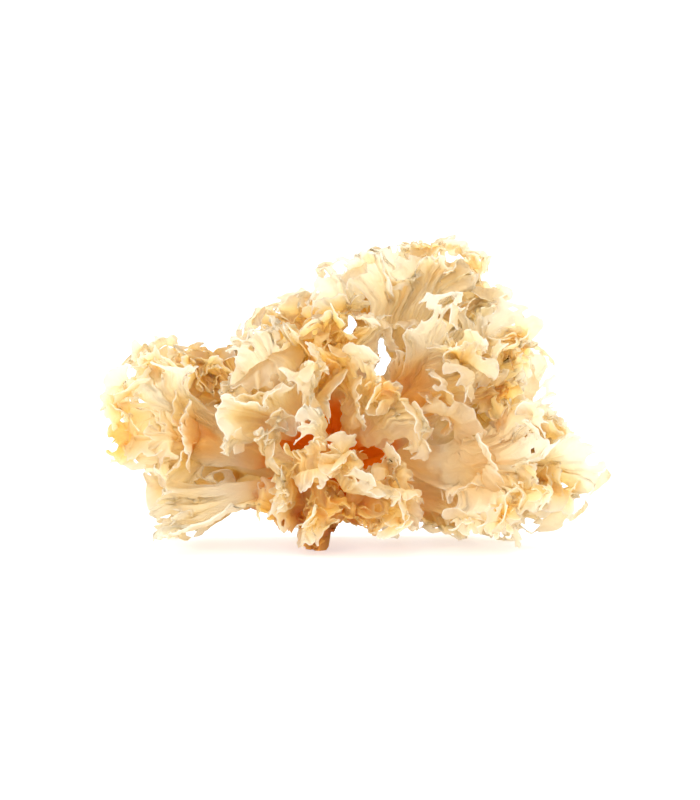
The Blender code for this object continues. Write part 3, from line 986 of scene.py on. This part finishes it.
mainGrid = gridMesh(*mains.shape[1:3])
frillGrid = gridMesh(*frillSheets[0][1].shape[:2])
laceGrid = gridMesh(*laceSheets[0][1].shape[:2])
sheetWall = 0.22  # mm


# The frills of one frond or of the base, without those whose root was torn away
def addFrills(shape, name):
    left = KDTree(len(shape.verts))
    for vertex in shape.verts:
        left.insert(vertex.co, vertex.index)
    left.balance()
    small = bmesh.new()
    for grid, grown in ((frillGrid, frillSheets), (laceGrid, laceSheets)):
        for owner, sheet in grown:
            root = sheet[len(sheet) // 2, 0] * mm
            if owner == name and (name == "base" or left.find(root)[2] < frills["rootNear"] * mm):
                addSheet(small, grid, sheet, frills["rimFrom"])
    if small.faces:
        openSlots(small)
        tearMargin(small, 1.0)
        joined = bpy.data.meshes.new("frills")
        small.to_mesh(joined)
        shape.from_mesh(joined)
        bpy.data.meshes.remove(joined)
    small.free()


def addWall(piece):
    wall = piece.modifiers.new("wall", "SOLIDIFY")
    wall.thickness = sheetWall * mm
    wall.offset = 0.0


for name, sheet in zip(frondNames, mains):
    shape = bmesh.new()
    addSheet(shape, mainGrid, sheet, 0.0)
    openSlots(shape)
    tearMargin(shape, min(grow["calm"].get(name, 1.0), tears["gentle"].get(name, 1.0)))
    addFrills(shape, name)
    addWall(finishPiece(name, shape, frondMaterial, "frond", name))
shape = bmesh.new()
addFrills(shape, "base")
addWall(finishPiece("foot_frills", shape, baseMaterial, "base", "base"))
report("made the fronds")

# Floor, lights and camera, which looks as the photo does. Lengths are in metres, the aim in millimetres.
studio = {
    "floor": (0.8, 0.8, 0.8),
    "floorSize": 6.0,
    "floorGlow": 0.50,  # a light table, as under the photo's shadowless white
    "world": 1.26,
    "key": ((-0.15, -1.1, 0.35), 7.0),
    "back": ((0.1, 0.6, 0.9), 5.0),
    "lampSize": 0.6,
    "lampsAim": (0.0, 0.0, 0.03),
    "gamma": 1.2,  # the photo's soft tones: its shaded folds stay light
    "elevation": 3.0,
    "distance": 1.1,
    "aim": (-1.9, -4.4, 32.4),
    "mmPerPixel": 0.2192,
    "pixels": 700,
    "sensor": 36.0,  # mm
}


def makeStage():
    shape = bmesh.new()
    bmesh.ops.create_grid(shape, x_segments=1, y_segments=1, size=studio["floorSize"])
    mesh = bpy.data.meshes.new("floor")
    shape.to_mesh(mesh)
    shape.free()
    floor = bpy.data.objects.new("floor", mesh)
    bpy.context.scene.collection.objects.link(floor)
    paint = Look("floor_white")
    surface = paint.node("BsdfPrincipled", BaseColor=(*studio["floor"], 1.0), Roughness=0.5)
    surface.socket.node.inputs["Emission Color"].default_value = (1.0, 1.0, 1.0, 1.0)
    surface.socket.node.inputs["Emission Strength"].default_value = studio["floorGlow"]
    out = paint.tree.nodes.new("ShaderNodeOutputMaterial")
    paint.tree.links.new(surface.socket, out.inputs[0])
    mesh.materials.append(paint.material)


def addLight(name):
    at, power = studio[name]
    lamp = bpy.data.lights.new(name, "AREA")
    lamp.energy = power
    lamp.size = studio["lampSize"]
    light = bpy.data.objects.new(name, lamp)
    light.location = at
    light.rotation_euler = (Vector(studio["lampsAim"]) - Vector(at)).to_track_quat("-Z", "Y").to_euler()
    bpy.context.scene.collection.objects.link(light)


def makeCamera():
    lens = bpy.data.cameras.new("camera")
    lens.sensor_fit = "HORIZONTAL"
    lens.sensor_width = studio["sensor"]
    lens.lens = studio["sensor"] * studio["distance"] / (studio["pixels"] * studio["mmPerPixel"] * mm)
    lens.clip_start = 0.05
    lens.clip_end = 50.0
    camera = bpy.data.objects.new("camera", lens)
    aim = Vector(studio["aim"]) * mm
    tilt = math.radians(studio["elevation"])
    camera.location = aim + Vector((0.0, -math.cos(tilt), math.sin(tilt))) * studio["distance"]
    camera.rotation_euler = (math.radians(90.0) - tilt, 0.0, 0.0)
    bpy.context.scene.collection.objects.link(camera)
    bpy.context.scene.camera = camera


makeStage()
addLight("key")
addLight("back")
makeCamera()
world = bpy.data.worlds.new("studio")
world.use_nodes = True
world.node_tree.nodes["Background"].inputs["Color"].default_value = (1.0, 1.0, 1.0, 1.0)
world.node_tree.nodes["Background"].inputs["Strength"].default_value = studio["world"]
bpy.context.scene.world = world
bpy.context.scene.view_settings.view_transform = "Standard"
bpy.context.scene.view_settings.gamma = studio["gamma"]

for mesh, _, _ in (mainGrid, frillGrid, laceGrid):
    bpy.data.meshes.remove(mesh)
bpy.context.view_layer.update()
report("done")
